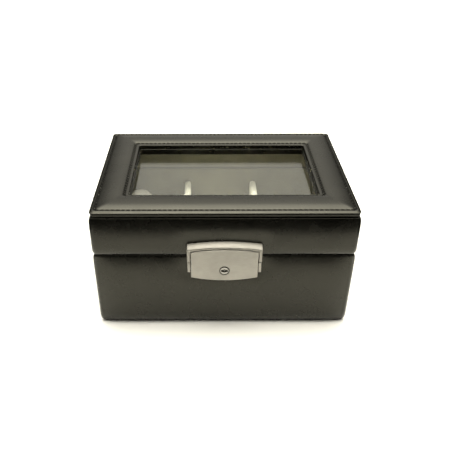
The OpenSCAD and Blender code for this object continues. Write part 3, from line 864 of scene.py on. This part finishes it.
def pillow(side):
    """A stuffed suede roll with a piped seam near each end, swollen by a cloth simulation."""
    node = f"{side}_pillow"
    low, high = span(node)
    size = high - low
    thick_axis = int(np.argmin(size))
    wide_axis = 2 - thick_axis
    powers = [0, PILLOW_POWERS[1], 0]
    powers[wide_axis], powers[thick_axis] = PILLOW_POWERS[0], PILLOW_POWERS[2]
    points, faces = cushion(low + PILLOW_START_IN, high - PILLOW_START_IN, powers)
    piece = mesh_piece(f"{side}_pillow_cushion", points, faces, node, "suede_pillow", [node], 80)
    remesh = piece.modifiers.new("remesh", "REMESH")
    remesh.mode = "VOXEL"
    remesh.voxel_size = PILLOW_VOXEL * MM
    apply_modifiers(piece)
    swell(piece)
    subdivide = piece.modifiers.new("smooth", "SUBSURF")
    subdivide.levels = subdivide.render_levels = 1
    apply_modifiers(piece)
    settle(piece, low, high, wide_axis)
    set_smooth(piece.data, 80)
    seams(piece, side, low, high, wide_axis, thick_axis)


def swell(piece):
    """Blows the pillow up with a pressure cloth, and keeps what it makes."""
    scene = bpy.context.scene
    rest = np.array([v.co for v in piece.data.vertices])
    cloth = piece.modifiers.new("cloth", "CLOTH")
    cloth.settings.use_pressure = True
    cloth.settings.uniform_pressure_force = PILLOW_PRESSURE
    cloth.settings.effector_weights.gravity = 0
    cloth.point_cache.frame_start, cloth.point_cache.frame_end = 1, CLOTH_FRAMES
    for number in range(1, CLOTH_FRAMES + 1):
        scene.frame_set(number)
    apply_modifiers(piece)
    scene.frame_set(1)
    moved = np.array([v.co for v in piece.data.vertices])
    move = moved - rest
    length = np.linalg.norm(move, axis=1)[:, None]
    move *= np.minimum(1, PILLOW_CAP * MM / np.maximum(length, 1e-9))
    set_points(piece, rest + move)


def set_points(piece, points):
    piece.data.vertices.foreach_set("co", np.asarray(points, np.float32).ravel())
    piece.data.update()


def settle(piece, low, high, wide_axis):
    """Fits the pillow to its place, pinches its seams, and makes its surface a little uneven."""
    points = np.array([v.co for v in piece.data.vertices]) / MM
    middle, half = (low + high) / 2, (high - low) / 2
    spread = (points.max(0) - points.min(0)) / 2
    points = middle + (points - (points.max(0) + points.min(0)) / 2) * (half / spread)
    seam_at = half[wide_axis] - SEAM_IN
    pinch = np.exp(-((abs(points[:, wide_axis] - middle[wide_axis]) - seam_at) / SEAM_HALF) ** 2)
    inward = middle - points
    inward[:, wide_axis] = 0
    inward /= np.maximum(np.linalg.norm(inward, axis=1), 1)[:, None]
    points += inward * (SEAM_PINCH * pinch + 0.3 * ripple(points, 12, 5))[:, None]
    set_points(piece, np.clip(points, low, high) * MM)


def seams(piece, side, low, high, wide_axis, thick_axis):
    """A thin piping tube round the pillow at each seam."""
    tree = bvhtree.BVHTree.FromObject(piece, bpy.context.evaluated_depsgraph_get())
    middle, half = (low + high) / 2, (high - low) / 2
    aside = np.zeros(3)
    aside[wide_axis] = 1
    for label, sign in (("first", -1), ("second", 1)):
        centre = middle + aside * sign * (half[wide_axis] - SEAM_IN)
        path = []
        for angle in np.radians(np.arange(0, 360, 3)):
            outward = np.zeros(3)
            outward[1], outward[thick_axis] = half[1] * math.cos(angle), half[thick_axis] * math.sin(angle)
            outward = Vector(outward).normalized()
            start = Vector(centre) * MM + outward * 0.1
            hit = tree.ray_cast(start, -outward)[0]
            path.append(np.array(hit) / MM)
        rings = []
        for k, point in enumerate(path):
            tangent = path[(k + 1) % len(path)] - path[k - 1]
            tangent /= np.linalg.norm(tangent)
            up = np.cross(tangent, aside)
            for angle in np.linspace(0, 2 * math.pi, SEAM_SIDES, False):
                rings.append(point + SEAM_R * (aside * math.cos(angle) + up * math.sin(angle)))
        faces = swept_faces(len(path), SEAM_SIDES)
        mesh_piece(f"{side}_pillow_{label}_seam", rings, faces, f"{side}_pillow", "suede_pillow")


# ---------- CAD pieces that keep their shape ----------

EDGE_WIDTHS = {
    "hasp_cover": 0.4, "lock_plate": 0.4, "lock_body": 0.25, "cylinder_ring": 0.12, "key_cylinder": 0.1,
    "left_hinge_lower_leaf": 0.15, "right_hinge_lower_leaf": 0.15, "left_hinge_upper_leaf": 0.15,
    "right_hinge_upper_leaf": 0.15, "hinge_pins": 0.15, "hasp_catch": 0.15, "latch_hook": 0.15,
    "glass_pane": 0.15, "glass_retainer": 0.4, "base_felt": 0.3, "lid_top_board": 0.2,
}


def dress_cad_nodes():
    """Gives every CAD node that still shows its material, and soft edges to those that have a width above."""
    for name, node in nodes.items():
        if node.hide_render:
            continue
        # The cylinder ring takes the near-black chrome, which is painted shade for the gap round the key
        # cylinder.
        finish = ring_painted_shade_material if name == "cylinder_ring" else materials[slot_of_node[name]]
        node.data.materials.clear()
        node.data.materials.append(finish)
        if name in EDGE_WIDTHS:
            weld = node.modifiers.new("weld", "WELD")
            weld.merge_threshold = 0.001 * MM
            flat = node.modifiers.new("flat", "DECIMATE")
            flat.decimate_type = "DISSOLVE"
            flat.angle_limit = math.radians(0.5)
            bevel = node.modifiers.new("edges", "BEVEL")
            bevel.width = EDGE_WIDTHS[name] * MM
            bevel.segments = 4
            bevel.use_clamp_overlap = False
            bevel.limit_method = "ANGLE"
            bevel.angle_limit = math.radians(60)
            normals = node.modifiers.new("normals", "WEIGHTED_NORMAL")
            normals.keep_sharp = False


# ---------- floor, light and camera ----------

# The floor and the camera are placed in metres.
FLOOR_HALF_W = 0.18
FLOOR_FRONT_Y = -0.185
FLOOR_BACK_Y = 0.4
CAMERA_PLACE = (-0.0118, -0.3327, 0.2598)
CAMERA_TILT = math.radians(56.46)
CAMERA_TURN = math.radians(-0.18)
# How strong the studio's light is from the front, from behind and overhead, how narrow the glow overhead is
# and how far it leans back, and the strength of the backdrop.
FRONT_LIGHT = 0.03
BACK_LIGHT = 0.65
TOP_LIGHT = 9.5
GLOW_POWER = 7.0
GLOW_TILT = math.radians(10)
BACKDROP = 1.3
# The X part of the direction where the light is brightest from side to side.
LIGHT_MIDDLE_X = 0.04


def floor():
    """A plain pale table top."""
    mesh = bpy.data.meshes.new("floor")
    build = bmesh.new()
    corners = [
        (-FLOOR_HALF_W, FLOOR_FRONT_Y), (FLOOR_HALF_W, FLOOR_FRONT_Y),
        (FLOOR_HALF_W, FLOOR_BACK_Y), (-FLOOR_HALF_W, FLOOR_BACK_Y),
    ]
    build.faces.new([build.verts.new((x, y, 0)) for x, y in corners])
    build.to_mesh(mesh)
    build.free()
    shader = Shader("pale_table", (0.93, 0.925, 0.90), 0.7)
    mesh.materials.append(shader.material)
    table = bpy.data.objects.new("floor", mesh)
    bpy.context.scene.collection.objects.link(table)


def math_node(tree, operation, first, second):
    """A math node on a socket or number each."""
    node = tree.nodes.new("ShaderNodeMath")
    node.operation = operation
    for socket, value in zip(node.inputs, (first, second)):
        if isinstance(value, float):
            socket.default_value = value
        else:
            tree.links.new(value, socket)
    return node.outputs["Value"]


def step_node(tree, value, start, end, low, high):
    """A soft step of a socket's value."""
    node = tree.nodes.new("ShaderNodeMapRange")
    node.interpolation_type = "SMOOTHSTEP"
    for name, number in (("From Min", start), ("From Max", end), ("To Min", low), ("To Max", high)):
        node.inputs[name].default_value = number
    tree.links.new(value, node.inputs["Value"])
    return node.outputs["Result"]


def world():
    """A pale studio, brightest overhead and bright behind the box, and dark low down on the camera's side."""
    made = bpy.data.worlds.new("studio")
    bpy.context.scene.world = made
    made.use_nodes = True
    tree = made.node_tree
    tree.nodes.clear()
    place = tree.nodes.new("ShaderNodeTexCoord")
    parts = tree.nodes.new("ShaderNodeSeparateXYZ")
    tree.links.new(place.outputs["Generated"], parts.inputs["Vector"])
    aside = math_node(tree, "SUBTRACT", parts.outputs["X"], LIGHT_MIDDLE_X)
    aside = math_node(tree, "ABSOLUTE", aside, 0.0)
    sideways = step_node(tree, aside, 0.14, 0.48, 1.0, 0.2)
    behind = step_node(tree, parts.outputs["Y"], -0.25, 0.25, FRONT_LIGHT, BACK_LIGHT)
    glow = tree.nodes.new("ShaderNodeVectorMath")
    glow.operation = "DOT_PRODUCT"
    glow.inputs[1].default_value = (0, math.sin(GLOW_TILT), math.cos(GLOW_TILT))
    tree.links.new(place.outputs["Generated"], glow.inputs[0])
    height = math_node(tree, "MAXIMUM", glow.outputs["Value"], 0.0)
    overhead = math_node(tree, "MULTIPLY", math_node(tree, "POWER", height, GLOW_POWER), TOP_LIGHT)
    strength = math_node(tree, "ADD", math_node(tree, "MULTIPLY", sideways, behind), overhead)
    studio = tree.nodes.new("ShaderNodeBackground")
    studio.inputs["Color"].default_value = (1.0, 0.97, 0.86, 1)
    tree.links.new(strength, studio.inputs["Strength"])
    backdrop = tree.nodes.new("ShaderNodeBackground")
    backdrop.inputs["Color"].default_value = (1.0, 1.0, 0.99, 1)
    backdrop.inputs["Strength"].default_value = BACKDROP
    path = tree.nodes.new("ShaderNodeLightPath")
    mix = tree.nodes.new("ShaderNodeMixShader")
    # A ray that has crossed two faces at most, as one straight through the window's pane has.
    near = math_node(tree, "LESS_THAN", path.outputs["Ray Depth"], 2.5)
    through = math_node(tree, "MULTIPLY", path.outputs["Is Transmission Ray"], near)
    seen = math_node(tree, "MAXIMUM", path.outputs["Is Camera Ray"], through)
    tree.links.new(seen, mix.inputs["Fac"])
    tree.links.new(studio.outputs["Background"], mix.inputs[1])
    tree.links.new(backdrop.outputs["Background"], mix.inputs[2])
    output = tree.nodes.new("ShaderNodeOutputWorld")
    tree.links.new(mix.outputs["Shader"], output.inputs["Surface"])


def softbox(name, place, aim, width, depth, power, color):
    """A large soft lamp."""
    lamp = bpy.data.lights.new(name, "AREA")
    lamp.shape = "RECTANGLE"
    lamp.size, lamp.size_y = width, depth
    lamp.energy = power
    lamp.color = color
    holder = bpy.data.objects.new(name, lamp)
    holder.location = place
    holder.rotation_euler = (Vector(aim) - Vector(place)).to_track_quat("-Z", "Y").to_euler()
    bpy.context.scene.collection.objects.link(holder)


def lights():
    softbox("top_light", (0, 0.05, 0.95), (0, 0, 0.05), 0.5, 0.3, 1.5, (1.0, 0.985, 0.94))


def camera():
    """The view from the front and above."""
    data = bpy.data.cameras.new("camera")
    data.sensor_width = 36
    data.lens = 44.96
    data.shift_x = 0.0411
    data.clip_start = 0.01
    holder = bpy.data.objects.new("camera", data)
    holder.location = CAMERA_PLACE
    holder.rotation_euler = (CAMERA_TILT, 0, CAMERA_TURN)
    bpy.context.scene.collection.objects.link(holder)
    bpy.context.scene.camera = holder


# ---------- building ----------

base_skin()
lid_side_skin()
top_skin()
welt_and_bead()
stitch_row("outer_stitches", OUTER_STITCH_IN, 11)
stitch_row("window_stitches", INNER_STITCH_IN, 12)
linings()
for side in ("left", "middle", "right"):
    pillow(side)
dress_cad_nodes()
floor()
world()
lights()
camera()
bpy.context.scene.view_settings.view_transform = "Standard"
